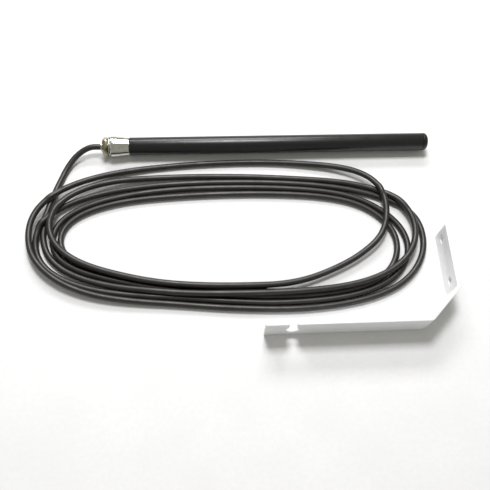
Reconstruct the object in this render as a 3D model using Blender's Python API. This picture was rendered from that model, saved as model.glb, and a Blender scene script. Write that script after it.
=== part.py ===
"""Flame sensor probe with its cable coil and wall bracket.

The probe lies along +X: a slim tube with a sight glass in its nose, and a plated cone, a threaded
neck, a washer and a fixing nut at its rear, where the cable leaves. The cable is stored as an oval
coil in front of the probe. The cranked flat-bar bracket stands on its long edge in front of the coil.

Units are metres, +Z is up, the floor is z = 0, and the origin is under the middle of the probe and
the bracket. Run it with blender --background --python part.py or from Blender's text editor.
"""

import math

import bmesh
import bpy
from mathutils import Matrix, Vector

MM = 0.001
GAP = 0.3 * MM  # kept between pieces that touch

# ---- driving dimensions -------------------------------------------------------------------------

# tube
TUBE_DIAMETER = 18 * MM
TUBE_WALL = 1.5 * MM
TUBE_LENGTH = 301.4 * MM
TUBE_EDGE = 0.3 * MM

# nose cap, sight glass and what holds it
CAP_FLANGE = 5.3 * MM  # the part of the cap that shows
CAP_NOSE_RADIUS = 4 * MM
CAP_SPIGOT = 15 * MM
CAP_LIP = 2.5 * MM  # wall in front of the glass
CAP_SPIGOT_WALL = 2.0 * MM
SIGHT_HOLE_DIAMETER = 8 * MM
GLASS_THICKNESS = 2 * MM
GASKET_THICKNESS = 1 * MM
RETAINER_THICKNESS = 3 * MM
RETAINER_SLOT = 1.2 * MM  # width of the spanner slot across the ring

# photocell and its holder
HOLDER_LENGTH = 15 * MM
CELL_CAN_LENGTH = 6 * MM
CELL_FLANGE_THICKNESS = 0.8 * MM
CELL_FLANGE_RIM = 0.6 * MM
CELL_LENS_RISE = 1.2 * MM
CELL_LENS_SHARE = 0.55  # of the can's radius
CELL_WALL_IN_HOLDER = 2.4 * MM
CELL_LEAD_DIAMETER = 0.8 * MM
CELL_LEAD_CIRCLE = 5 * MM
CELL_LEADS = 3

# amplifier board, its carriers and what is on it
BOARD_LENGTH = 118 * MM
BOARD_THICKNESS = 1.6 * MM
BOARD_RIM = 1.7 * MM  # carrier wall left beside the board
BOARD_TO_HOLDER = 3 * MM
CARRIER_THICKNESS = 5 * MM
CARRIER_FRONT_INSET = 12 * MM  # from the board's front end
CARRIER_REAR_INSET = 18 * MM  # from the board's rear end
CHIP_SIZE = (9.6 * MM, 5.6 * MM, 2.6 * MM)
CHIP_LEGS_PER_SIDE = 4
CHIP_LEG_PITCH = 2.2 * MM
CHIP_LEG_SIZE = (0.7 * MM, 1.0 * MM, 1.2 * MM)
CAPACITOR_DIAMETER = 4.4 * MM
CAPACITOR_LENGTHS = (11 * MM, 8 * MM)
TRIMMER_SIZE = (6.4 * MM, 5.6 * MM, 3.2 * MM)
TRIMMER_SCREW = (3.2 * MM, 0.5 * MM)  # diameter and height over the body
CAPACITOR_TO_CARRIER = 2.5 * MM
CAPACITOR_SPACE = 3 * MM
CHIP_SPACE = 5 * MM  # before and behind the chip
TERMINAL_SIZE = (8 * MM, 7.5 * MM, 3.1 * MM)
TERMINAL_HOLE = 1.6 * MM

# plated cone with its spigot and threaded neck
CONE_DIAMETER = 21.6 * MM
CONE_LENGTH = 19 * MM
CONE_BAND = 3.6 * MM  # plain cylindrical band at the rear of the cone
CONE_CHAMFER = 1.1 * MM
SPIGOT_LENGTH = 14 * MM
SPIGOT_CHAMFER = 0.5 * MM
NECK_DIAMETER = 10 * MM
NECK_LENGTH = 9.8 * MM
NECK_CHAMFER = 0.5 * MM
GROOVE_WIDTH = 2.2 * MM
GROOVE_DEPTH = 1.1 * MM
GROOVE_INSET = 2.6 * MM
SEAL_CHAMBER_DEPTH = 8 * MM  # how far the seal's chamber runs into the cone
SPIGOT_WALL = 0.8 * MM  # between the seal's chamber and the groove outside it
SEAL_LENGTH = 9 * MM
CLAMP_LENGTH = 5 * MM

# washer and fixing nut on the neck
WASHER_DIAMETER = 20 * MM
WASHER_THICKNESS = 1.2 * MM
NUT_ACROSS_FLATS = 17 * MM
NUT_THICKNESS = 5 * MM
NUT_TO_WASHER = 1.0 * MM
NUT_CHAMFER_SLOPE = math.radians(30)
NUT_TURN = math.radians(19)  # of its upper flat from level, towards the near side

# cable
CABLE_DIAMETER = 6 * MM
CABLE_CLEARANCE = 0.4 * MM  # between the jacket and a bore that it passes through
CORE_DIAMETER = 1.5 * MM
CORE_PITCH = 2.1 * MM  # in the terminal block
CORE_SPREAD = 1.2 * MM  # of each core from the cable's axis
CORE_PHASES = (210, 90, 330)  # degrees round the cable, in the order of the terminal's holes
CORE_POINTS = 14

# oval coil of cable, placed from the point where the cable leaves the neck
COIL_CENTRE = (129.5 * MM, -98 * MM)
COIL_HALF_LENGTH = 194.5 * MM  # to the outer side of the outermost turn
COIL_HALF_WIDTH = 82 * MM
COIL_BAND_ENDS = 39 * MM  # width of the bundle at the two ends of the oval
COIL_BAND_SIDES = 39 * MM
COIL_SQUARENESS = 2.3  # exponent of the oval: 2 is an ellipse
COIL_HEIGHT = 14 * MM
COIL_ROUNDING = 4 * MM
COIL_STEPS = 64

# wall bracket: flat bar on its long edge, arm along X, then a 45 degree crank, then the flange
BAR_WIDTH = 30 * MM
BAR_THICKNESS = 3 * MM
ARM_LENGTH = 148.4 * MM  # to the corner that the outer faces would make
CRANK_LENGTH = 42.6 * MM
FLANGE_LENGTH = 63.6 * MM
CRANK_ANGLE = math.radians(45)
BEND_RADIUS = 3 * MM  # inside of each bend
BAR_CORNER_RADIUS = 1.5 * MM
SCREW_HOLES = 2
KEYHOLE_FROM_END = 24.8 * MM
KEYHOLE_CLEARANCE = 2.2 * MM  # keyhole over neck, on the diameter
KEYHOLE_SLOT_CLEARANCE = 1.2 * MM  # slot over cable
SCREW_HOLE_DIAMETER = 7.5 * MM
SCREW_HOLE_FROM_END = 9.6 * MM
SCREW_HOLE_SPACING = 41.8 * MM
BRACKET_BEHIND_COIL_END = 6.3 * MM
BRACKET_IN_FRONT_OF_COIL = 15.3 * MM

# facets
VISIBLE_STEPS = 48
INNER_STEPS = 24
ARC_STEPS = 5

# route of the uncoiled cable after its first straight stretch: x and y from the point where it
# leaves the neck, then the height of its underside. It runs on into the coil.
LEAD_STRAIGHT = 8 * MM
LEAD_ROUTE = [
    (-13.5 * MM, -1.2 * MM, 7.2 * MM),
    (-19.5 * MM, -4.0 * MM, 5.6 * MM),
    (-25.5 * MM, -8.8 * MM, 3.8 * MM),
    (-30.8 * MM, -15.4 * MM, 2.0 * MM),
    (-35.0 * MM, -23.0 * MM, 0.7 * MM),
    (-38.3 * MM, -31.2 * MM, 0.1 * MM),
    (-41.3 * MM, -39.6 * MM, 0.0 * MM),
    (-44.0 * MM, -48.0 * MM, 0.0 * MM),
    (-46.4 * MM, -56.6 * MM, 0.0 * MM),
]
LEAD_SAMPLES_PER_STEP = 4

# ---- sizes that follow from them ----------------------------------------------------------------

TUBE_RADIUS = TUBE_DIAMETER / 2
BORE_RADIUS = TUBE_RADIUS - TUBE_WALL
INSERT_RADIUS = BORE_RADIUS - GAP  # whatever slides into the tube
CABLE_RADIUS = CABLE_DIAMETER / 2
CONE_RADIUS = CONE_DIAMETER / 2
NECK_RADIUS = NECK_DIAMETER / 2
NECK_BORE_RADIUS = CABLE_RADIUS + CABLE_CLEARANCE
SEAL_CHAMBER_RADIUS = INSERT_RADIUS - GROOVE_DEPTH - SPIGOT_WALL
NUT_CORNER_RADIUS = NUT_ACROSS_FLATS / math.sqrt(3)
PROBE_RADIUS = max(TUBE_RADIUS, CONE_RADIUS)

# positions along the probe, from the tube's rear face
CONE_FRONT = -GAP
CONE_REAR = CONE_FRONT - CONE_LENGTH
NECK_REAR = CONE_REAR - NECK_LENGTH
WASHER_FRONT = CONE_REAR - GAP
WASHER_REAR = WASHER_FRONT - WASHER_THICKNESS
NUT_FRONT = WASHER_REAR - NUT_TO_WASHER
CAP_SHOULDER = TUBE_LENGTH + GAP
CAP_FRONT = CAP_SHOULDER + CAP_FLANGE
CAP_REAR = CAP_SHOULDER - CAP_SPIGOT
CAP_BORE_RADIUS = INSERT_RADIUS - CAP_SPIGOT_WALL
GLASS_FRONT = CAP_FRONT - CAP_LIP - GAP
GLASS_REAR = GLASS_FRONT - GLASS_THICKNESS
GASKET_FRONT = GLASS_REAR - GAP
GASKET_REAR = GASKET_FRONT - GASKET_THICKNESS
RETAINER_FRONT = GASKET_REAR - GAP
RETAINER_REAR = RETAINER_FRONT - RETAINER_THICKNESS
HOLDER_FRONT = CAP_REAR - GAP
HOLDER_REAR = HOLDER_FRONT - HOLDER_LENGTH
CELL_RADIUS = INSERT_RADIUS - CELL_WALL_IN_HOLDER - GAP
BOARD_FRONT = HOLDER_REAR - BOARD_TO_HOLDER
BOARD_REAR = BOARD_FRONT - BOARD_LENGTH
BOARD_WIDTH = 2 * (INSERT_RADIUS - BOARD_RIM - GAP)
BOARD_TOP = BOARD_THICKNESS / 2
CABLE_INNER_END = SPIGOT_LENGTH + GAP

PROBE_LENGTH = CAP_FRONT - NECK_REAR
AXIS_HEIGHT = max(PROBE_RADIUS, NUT_CORNER_RADIUS)

# layout from the cable's exit, then moved so that the origin is under the middle of the whole
COIL_RIGHT = COIL_CENTRE[0] + COIL_HALF_LENGTH
COIL_NEAR = COIL_CENTRE[1] - COIL_HALF_WIDTH
FLANGE_OUTER_X = COIL_RIGHT + BRACKET_BEHIND_COIL_END + BAR_THICKNESS
ARM_OUTER_Y = COIL_NEAR - BRACKET_IN_FRONT_OF_COIL - BAR_THICKNESS
ARM_END_X = FLANGE_OUTER_X - CRANK_LENGTH * math.cos(CRANK_ANGLE) - ARM_LENGTH
SPAN_X = (min(0.0, ARM_END_X), max(PROBE_LENGTH, FLANGE_OUTER_X))
SPAN_Y = (ARM_OUTER_Y, PROBE_RADIUS)
EXIT_X = -(SPAN_X[0] + SPAN_X[1]) / 2
EXIT_Y = -(SPAN_Y[0] + SPAN_Y[1]) / 2


# ---- tools --------------------------------------------------------------------------------------


def clear_scene():
    for obj in list(bpy.data.objects):
        bpy.data.objects.remove(obj, do_unlink=True)


def material(name, rgb, roughness, metallic=0.0, alpha=1.0):
    mat = bpy.data.materials.new(name)
    mat.use_nodes = True
    shader = mat.node_tree.nodes["Principled BSDF"]
    shader.inputs["Base Color"].default_value = (*rgb, 1.0)
    shader.inputs["Roughness"].default_value = roughness
    shader.inputs["Metallic"].default_value = metallic
    shader.inputs["Alpha"].default_value = alpha
    mat.diffuse_color = (*rgb, alpha)
    return mat


def empty(name, location, parent=None):
    obj = bpy.data.objects.new(name, None)
    obj.location = location
    obj.parent = parent
    bpy.context.scene.collection.objects.link(obj)
    return obj


def place(name, bm, mat, parent=None, location=(0, 0, 0)):
    """Turns a bmesh into a smooth-shaded object with sharp edges kept."""
    bmesh.ops.recalc_face_normals(bm, faces=bm.faces[:])
    mesh = bpy.data.meshes.new(name)
    bm.to_mesh(mesh)
    bm.free()
    mesh.materials.append(mat)
    mesh.shade_smooth()
    mesh.set_sharp_from_angle(angle=math.radians(35))
    obj = bpy.data.objects.new(name, mesh)
    obj.location = location
    obj.parent = parent
    bpy.context.scene.collection.objects.link(obj)
    return obj


def as_tool(obj):
    """Marks a cutter or a joined shape, which is not a piece of its own."""
    obj.hide_render = True
    obj.display_type = "WIRE"
    return obj


def boolean(target, tool, operation):
    modifier = target.modifiers.new(f"{operation.lower()} {tool.name}", "BOOLEAN")
    modifier.operation = operation
    modifier.object = as_tool(tool)


def arc(centre, radius, start, end, steps=ARC_STEPS):
    """Points of an arc in the (x, r) plane, with angles in degrees from +x towards +r."""
    return [
        (
            centre[0] + radius * math.cos(math.radians(start + (end - start) * i / steps)),
            centre[1] + radius * math.sin(math.radians(start + (end - start) * i / steps)),
        )
        for i in range(steps + 1)
    ]


def turned_mesh(outline, steps, closed):
    """Spins an outline of (x, r) points about X. An open outline starts and ends on the axis."""
    bm = bmesh.new()
    verts = [bm.verts.new((x, 0.0, r)) for x, r in outline]
    pairs = list(zip(verts, verts[1:]))
    if closed:
        pairs.append((verts[-1], verts[0]))
    edges = [bm.edges.new(pair) for pair in pairs]
    bmesh.ops.spin(
        bm,
        geom=verts + edges,
        cent=(0, 0, 0),
        axis=(1, 0, 0),
        angle=math.tau,
        steps=steps,
        use_merge=True,
        use_duplicate=False,
    )
    bmesh.ops.remove_doubles(bm, verts=bm.verts[:], dist=1e-7)
    return bm


def ring(name, outline, mat, parent, steps=VISIBLE_STEPS, location=(0, 0, 0)):
    return place(name, turned_mesh(outline, steps, True), mat, parent, location)


def solid_turning(name, outline, mat, parent, steps=VISIBLE_STEPS, location=(0, 0, 0)):
    return place(name, turned_mesh(outline, steps, False), mat, parent, location)


def torus_outline(x, r, minor, steps=10):
    return arc((x, r), minor, 0, 360, steps)[:-1]


def block_mesh(size, centre, bevel=0.0):
    bm = bmesh.new()
    bmesh.ops.create_cube(bm, size=1.0)
    bmesh.ops.scale(bm, vec=size, verts=bm.verts[:])
    if bevel:
        bmesh.ops.bevel(
            bm,
            geom=bm.edges[:],
            offset=bevel,
            offset_type="OFFSET",
            segments=1,
            profile=0.5,
            affect="EDGES",
            material=-1,
        )
    bmesh.ops.translate(bm, vec=centre, verts=bm.verts[:])
    return bm


def block(name, size, centre, mat, parent, bevel=0.0):
    return place(name, block_mesh(size, centre, bevel), mat, parent)


def rod_mesh(radius, length, centre, axis, steps):
    """A plain round rod along X, Y or Z."""
    bm = bmesh.new()
    turn = {
        "X": Matrix.Rotation(math.pi / 2, 4, "Y"),
        "Y": Matrix.Rotation(math.pi / 2, 4, "X"),
        "Z": Matrix.Identity(4),
    }[axis]
    bmesh.ops.create_cone(
        bm,
        cap_ends=True,
        segments=steps,
        radius1=radius,
        radius2=radius,
        depth=length,
        matrix=Matrix.Translation(Vector(centre)) @ turn,
    )
    return bm


def smooth_route(points, per_step):
    """Points along a smooth curve through the given ones."""
    ends = [points[0] * 2 - points[1]] + points + [points[-1] * 2 - points[-2]]
    route = []
    for a, b, c, d in zip(ends, ends[1:], ends[2:], ends[3:]):
        for i in range(per_step):
            t = i / per_step
            route.append(
                0.5
                * (
                    2 * b
                    + (c - a) * t
                    + (2 * a - 5 * b + 4 * c - d) * t * t
                    + (3 * b - a - 3 * c + d) * t * t * t
                )
            )
    route.append(points[-1].copy())
    return route


def cable(name, points, diameter, resolution, mat, parent=None):
    """A round tube with closed ends along the points."""
    curve = bpy.data.curves.new(name, "CURVE")
    curve.dimensions = "3D"
    curve.bevel_depth = diameter / 2
    curve.bevel_resolution = resolution
    curve.use_fill_caps = True
    curve.render_resolution_u = 0
    spline = curve.splines.new("POLY")
    spline.points.add(len(points) - 1)
    for spot, point in zip(spline.points, points):
        spot.co = (*point, 1.0)
    curve.materials.append(mat)
    obj = bpy.data.objects.new(name, curve)
    obj.parent = parent
    bpy.context.scene.collection.objects.link(obj)
    return obj


# ---- the probe's pieces -------------------------------------------------------------------------


def make_tube(mats, probe):
    outline = [
        (TUBE_EDGE, TUBE_RADIUS),
        (TUBE_LENGTH - TUBE_EDGE, TUBE_RADIUS),
        (TUBE_LENGTH, TUBE_RADIUS - TUBE_EDGE),
        (TUBE_LENGTH, BORE_RADIUS + TUBE_EDGE),
        (TUBE_LENGTH - TUBE_EDGE, BORE_RADIUS),
        (TUBE_EDGE, BORE_RADIUS),
        (0.0, BORE_RADIUS + TUBE_EDGE),
        (0.0, TUBE_RADIUS - TUBE_EDGE),
    ]
    ring("probe_tube", outline, mats["black"], probe)


def make_nose(mats, probe):
    """Cap, sight glass, gasket and the threaded ring that holds the glass."""
    hole = SIGHT_HOLE_DIAMETER / 2
    nose = min(CAP_NOSE_RADIUS, CAP_FLANGE - GAP, TUBE_RADIUS - hole - GAP)
    seat = CAP_FRONT - CAP_LIP
    groove = CAP_SHOULDER - GROOVE_INSET
    groove_radius = INSERT_RADIUS - GROOVE_DEPTH
    outline = [(CAP_FRONT, hole)]
    outline += arc((CAP_FRONT - nose, TUBE_RADIUS - nose), nose, 0, 90)
    outline += [
        (CAP_SHOULDER, TUBE_RADIUS),
        (CAP_SHOULDER, INSERT_RADIUS),
        (groove, INSERT_RADIUS),
        (groove, groove_radius),
        (groove - GROOVE_WIDTH, groove_radius),
        (groove - GROOVE_WIDTH, INSERT_RADIUS),
        (CAP_REAR + SPIGOT_CHAMFER, INSERT_RADIUS),
        (CAP_REAR, INSERT_RADIUS - SPIGOT_CHAMFER),
        (CAP_REAR, CAP_BORE_RADIUS),
        (seat, CAP_BORE_RADIUS),
        (seat, hole),
    ]
    ring("tip_cap", outline, mats["black"], probe)

    minor = (BORE_RADIUS - groove_radius) / 2 - GAP
    seal = torus_outline(groove - GROOVE_WIDTH / 2, groove_radius + GAP + minor, minor)
    ring("tip_o_ring", seal, mats["rubber"], probe, INNER_STEPS)

    disc = CAP_BORE_RADIUS - GAP
    opening = min(hole, disc - GASKET_THICKNESS)
    glass = [(GLASS_REAR, 0.0), (GLASS_REAR, disc), (GLASS_FRONT, disc), (GLASS_FRONT, 0.0)]
    solid_turning("sight_glass", glass, mats["glass"], probe, INNER_STEPS)
    gasket = [
        (GASKET_REAR, opening),
        (GASKET_REAR, disc),
        (GASKET_FRONT, disc),
        (GASKET_FRONT, opening),
    ]
    ring("glass_gasket", gasket, mats["rubber"], probe, INNER_STEPS)

    retainer = [
        (RETAINER_REAR, opening),
        (RETAINER_REAR, disc),
        (RETAINER_FRONT, disc),
        (RETAINER_FRONT, opening),
    ]
    holder = ring("glass_retainer", retainer, mats["brass"], probe, INNER_STEPS)
    slot = block(
        "retainer_spanner_slot",
        (RETAINER_THICKNESS, 3 * disc, RETAINER_SLOT),
        (RETAINER_REAR, 0, 0),
        mats["brass"],
        probe,
    )
    boolean(holder, slot, "DIFFERENCE")


def make_photocell(mats, probe):
    """Metal-can photocell with a domed window, its base with three leads, and its holder."""
    front = HOLDER_FRONT - CELL_LENS_RISE
    flange_front = front - CELL_CAN_LENGTH
    flange_rear = flange_front - CELL_FLANGE_THICKNESS
    dome = CELL_RADIUS * CELL_LENS_SHARE
    bulge = [
        (front + CELL_LENS_RISE * math.sin(a), dome * math.cos(a))
        for a in (math.pi / 2 * i / ARC_STEPS for i in range(ARC_STEPS))
    ]
    can = [(flange_front + GAP, 0.0), (flange_front + GAP, CELL_RADIUS)]
    can += [(front - GAP, CELL_RADIUS), (front, CELL_RADIUS - GAP)]
    can += bulge + [(front + CELL_LENS_RISE, 0.0)]
    solid_turning("photocell_can", can, mats["nickel"], probe, INNER_STEPS)

    rim = CELL_RADIUS + CELL_FLANGE_RIM
    base = [(flange_rear, 0.0), (flange_rear, rim), (flange_front, rim), (flange_front, 0.0)]
    header = solid_turning("photocell_base", base, mats["nickel"], probe, INNER_STEPS)
    lead_length = flange_rear - BOARD_FRONT
    for number in range(CELL_LEADS):
        angle = math.tau * (number / CELL_LEADS + 0.25)
        centre = (
            flange_rear + GAP - lead_length / 2,
            CELL_LEAD_CIRCLE / 2 * math.cos(angle),
            CELL_LEAD_CIRCLE / 2 * math.sin(angle),
        )
        lead = rod_mesh(CELL_LEAD_DIAMETER / 2, lead_length, centre, "X", 8)
        boolean(header, place(f"photocell_lead_{number + 1}", lead, mats["nickel"], probe), "UNION")

    step = flange_rear - GAP
    holder = [
        (HOLDER_FRONT, CELL_RADIUS + GAP),
        (HOLDER_FRONT, INSERT_RADIUS),
        (HOLDER_REAR, INSERT_RADIUS),
        (HOLDER_REAR, rim - GAP),
        (step, rim - GAP),
        (step, rim + GAP),
        (flange_front + GAP, rim + GAP),
        (flange_front + GAP, CELL_RADIUS + GAP),
    ]
    ring("photocell_holder", holder, mats["grey plastic"], probe, INNER_STEPS)


def make_board(mats, probe):
    """Amplifier board in two slotted carriers, with the larger things soldered to it."""
    middle = (BOARD_FRONT + BOARD_REAR) / 2
    board_size = (BOARD_LENGTH, BOARD_WIDTH, BOARD_THICKNESS)
    block("amplifier_board", board_size, (middle, 0, 0), mats["board"], probe)

    stations = {
        "board_carrier_front": BOARD_FRONT - CARRIER_FRONT_INSET,
        "board_carrier_rear": BOARD_REAR + CARRIER_REAR_INSET,
    }
    for name, x in stations.items():
        front = x + CARRIER_THICKNESS / 2
        rear = x - CARRIER_THICKNESS / 2
        disc = [(rear, 0.0), (rear, INSERT_RADIUS), (front, INSERT_RADIUS), (front, 0.0)]
        carrier = solid_turning(name, disc, mats["grey plastic"], probe, INNER_STEPS)
        slot_size = (
            2 * CARRIER_THICKNESS,
            BOARD_WIDTH + 2 * GAP,
            BOARD_THICKNESS + 2 * GAP,
        )
        slot = block(f"{name}_slot", slot_size, (x, 0, 0), mats["grey plastic"], probe)
        boolean(carrier, slot, "DIFFERENCE")

    floor = BOARD_TOP + GAP
    behind = BOARD_FRONT - CARRIER_FRONT_INSET - CARRIER_THICKNESS / 2 - CAPACITOR_TO_CARRIER
    for number, length in enumerate(CAPACITOR_LENGTHS):
        centre = (behind - length / 2, 0, floor + CAPACITOR_DIAMETER / 2)
        body = rod_mesh(CAPACITOR_DIAMETER / 2, length, centre, "X", 16)
        place(f"board_capacitor_{number + 1}", body, mats["sleeve"], probe)
        behind -= length + CAPACITOR_SPACE

    behind -= CHIP_SPACE - CAPACITOR_SPACE
    chip_x = behind - CHIP_SIZE[0] / 2
    chip_centre = (chip_x, 0, floor + CHIP_LEG_SIZE[2] / 2 + CHIP_SIZE[2] / 2)
    chip = block("board_chip", CHIP_SIZE, chip_centre, mats["chip"], probe, 0.2 * MM)
    for side in (-1, 1):
        for number in range(CHIP_LEGS_PER_SIDE):
            offset = (number - (CHIP_LEGS_PER_SIDE - 1) / 2) * CHIP_LEG_PITCH
            leg = block(
                f"chip_leg_{side}_{number}",
                CHIP_LEG_SIZE,
                (chip_x + offset, side * CHIP_SIZE[1] / 2, floor + CHIP_LEG_SIZE[2] / 2),
                mats["nickel"],
                probe,
            )
            boolean(chip, leg, "UNION")
    behind -= CHIP_SIZE[0] + CHIP_SPACE

    trimmer_centre = (behind - TRIMMER_SIZE[0] / 2, 0, floor + TRIMMER_SIZE[2] / 2)
    trimmer = block("board_trimmer", TRIMMER_SIZE, trimmer_centre, mats["trimmer"], probe, GAP)
    screw_centre = (trimmer_centre[0], 0, floor + TRIMMER_SIZE[2])
    screw = rod_mesh(TRIMMER_SCREW[0] / 2, 2 * TRIMMER_SCREW[1], screw_centre, "Z", 16)
    boolean(trimmer, place("trimmer_screw", screw, mats["brass"], probe), "UNION")

    terminal_centre = (
        BOARD_REAR + TERMINAL_SIZE[0] / 2 + GAP,
        0,
        floor + TERMINAL_SIZE[2] / 2,
    )
    terminal = block("terminal_block", TERMINAL_SIZE, terminal_centre, mats["terminal"], probe, GAP)
    for number in range(len(CORE_PHASES)):
        y = (number - 1) * CORE_PITCH
        hole = rod_mesh(
            TERMINAL_HOLE / 2,
            TERMINAL_SIZE[0],
            (BOARD_REAR, y, terminal_centre[2]),
            "X",
            12,
        )
        boolean(terminal, place(f"terminal_hole_{number + 1}", hole, mats["brass"], probe), "DIFFERENCE")

    for number, degrees in enumerate(CORE_PHASES):
        phase = math.radians(degrees)
        round_cable = Vector((0, CORE_SPREAD * math.cos(phase), CORE_SPREAD * math.sin(phase)))
        in_terminal = Vector((0, (number - 1) * CORE_PITCH, terminal_centre[2]))
        points = []
        for i in range(CORE_POINTS + 1):
            t = i / CORE_POINTS
            x = CABLE_INNER_END + GAP + (BOARD_REAR - CABLE_INNER_END - 2 * GAP) * t
            points.append(round_cable.lerp(in_terminal, t * t * (3 - 2 * t)) + Vector((x, 0, 0)))
        cable(f"core_wire_{number + 1}", points, CORE_DIAMETER, 1, mats["core"], probe)


def make_cone(mats, probe):
    """Plated cone, turned in one piece with its threaded neck and the spigot that enters the tube."""
    groove = CONE_FRONT + GROOVE_INSET
    groove_radius = INSERT_RADIUS - GROOVE_DEPTH
    chamber_end = CONE_FRONT - SEAL_CHAMBER_DEPTH
    outline = [
        (NECK_REAR, NECK_BORE_RADIUS),
        (NECK_REAR, NECK_RADIUS - NECK_CHAMFER),
        (NECK_REAR + NECK_CHAMFER, NECK_RADIUS),
        (CONE_REAR, NECK_RADIUS),
        (CONE_REAR, CONE_RADIUS - CONE_CHAMFER),
        (CONE_REAR + CONE_CHAMFER, CONE_RADIUS),
        (CONE_REAR + CONE_BAND, CONE_RADIUS),
        (CONE_FRONT, TUBE_RADIUS),
        (CONE_FRONT, INSERT_RADIUS),
        (groove, INSERT_RADIUS),
        (groove, groove_radius),
        (groove + GROOVE_WIDTH, groove_radius),
        (groove + GROOVE_WIDTH, INSERT_RADIUS),
        (SPIGOT_LENGTH - SPIGOT_CHAMFER, INSERT_RADIUS),
        (SPIGOT_LENGTH, INSERT_RADIUS - SPIGOT_CHAMFER),
        (SPIGOT_LENGTH, SEAL_CHAMBER_RADIUS),
        (chamber_end, SEAL_CHAMBER_RADIUS),
        (chamber_end, NECK_BORE_RADIUS),
    ]
    ring("cone_body", outline, mats["chrome"], probe)

    minor = (BORE_RADIUS - groove_radius) / 2 - GAP
    seal = torus_outline(groove + GROOVE_WIDTH / 2, groove_radius + GAP + minor, minor)
    ring("cone_o_ring", seal, mats["rubber"], probe, INNER_STEPS)

    inner = CABLE_RADIUS + GAP
    outer = SEAL_CHAMBER_RADIUS - GAP
    seal_front = chamber_end + GAP + SEAL_LENGTH
    sleeves = {
        "cable_seal": (chamber_end + GAP, seal_front, "rubber"),
        "cable_clamp": (seal_front + GAP, seal_front + GAP + CLAMP_LENGTH, "brass"),
    }
    for name, (rear, front, finish) in sleeves.items():
        outline = [(rear, inner), (rear, outer), (front, outer), (front, inner)]
        ring(name, outline, mats[finish], probe, INNER_STEPS)

    rear = NECK_REAR + GAP
    front = CABLE_INNER_END
    jacket = [(rear, 0.0), (rear, CABLE_RADIUS), (front, CABLE_RADIUS), (front, 0.0)]
    solid_turning("cable_in_neck", jacket, mats["jacket"], probe, INNER_STEPS)


def make_washer_and_nut(mats, probe):
    """Flat washer, and a hexagon nut whose corners are turned down at both faces."""
    bore = NECK_RADIUS + GAP
    half = WASHER_THICKNESS / 2
    edge = WASHER_DIAMETER / 2
    outline = [(-half, bore), (-half, edge), (half, edge), (half, bore)]
    at = (WASHER_FRONT - half, 0, 0)
    ring("neck_washer", outline, mats["chrome"], probe, 32, at)

    half = NUT_THICKNESS / 2
    hexagon = bmesh.new()
    bmesh.ops.create_cone(
        hexagon,
        cap_ends=True,
        segments=6,
        radius1=NUT_CORNER_RADIUS,
        radius2=NUT_CORNER_RADIUS,
        depth=NUT_THICKNESS,
        matrix=Matrix.Rotation(NUT_TURN, 4, "X") @ Matrix.Rotation(math.pi / 2, 4, "Y"),
    )
    at = (NUT_FRONT - half, 0, 0)
    nut = place("fixing_nut", hexagon, mats["nickel brass"], probe, at)
    flat = NUT_ACROSS_FLATS / 2
    reach = NUT_CORNER_RADIUS + GAP
    drop = (reach - flat) * math.tan(NUT_CHAMFER_SLOPE)
    lens = [
        (-half - GAP, 0.0),
        (-half - GAP, flat - GAP / math.tan(NUT_CHAMFER_SLOPE)),
        (-half + drop, reach),
        (half - drop, reach),
        (half + GAP, flat - GAP / math.tan(NUT_CHAMFER_SLOPE)),
        (half + GAP, 0.0),
    ]
    corners = solid_turning("nut_corner_turning", lens, mats["nickel brass"], probe, VISIBLE_STEPS, at)
    boolean(nut, corners, "INTERSECT")
    drill = place(
        "nut_drill",
        rod_mesh(bore, 2 * NUT_THICKNESS, (0, 0, 0), "X", 32),
        mats["nickel brass"],
        probe,
        at,
    )
    boolean(nut, drill, "DIFFERENCE")


# ---- the cable ----------------------------------------------------------------------------------


def oval(half_length, half_width, steps):
    """Points of a rounded oval, evenly spread in angle."""
    points = []
    for i in range(steps):
        angle = math.tau * i / steps
        c, s = math.cos(angle), math.sin(angle)
        points.append(
            (
                half_length * math.copysign(abs(c) ** (2 / COIL_SQUARENESS), c),
                half_width * math.copysign(abs(s) ** (2 / COIL_SQUARENESS), s),
            )
        )
    return points


def in_coil(point, margin):
    """Whether a point is inside the coil's outer outline grown by a margin."""
    x = abs(point.x - EXIT_X - COIL_CENTRE[0]) / (COIL_HALF_LENGTH + margin)
    y = abs(point.y - EXIT_Y - COIL_CENTRE[1]) / (COIL_HALF_WIDTH + margin)
    return x**COIL_SQUARENESS + y**COIL_SQUARENESS < 1


def make_lead(mats):
    """The uncoiled cable, from the neck to where it goes under the coil."""
    exit_point = Vector((EXIT_X - GAP, EXIT_Y, AXIS_HEIGHT))
    points = [exit_point, exit_point + Vector((-LEAD_STRAIGHT, 0, 0))]
    for x, y, lift in LEAD_ROUTE:
        points.append(Vector((EXIT_X + x, EXIT_Y + y, CABLE_RADIUS + lift)))
    route = smooth_route(points, LEAD_SAMPLES_PER_STEP)
    outside = [p for p in route if not in_coil(p, CABLE_RADIUS + 2 * GAP)]
    cable("cable_lead", outside, CABLE_DIAMETER, 3, mats["jacket"])


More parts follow.
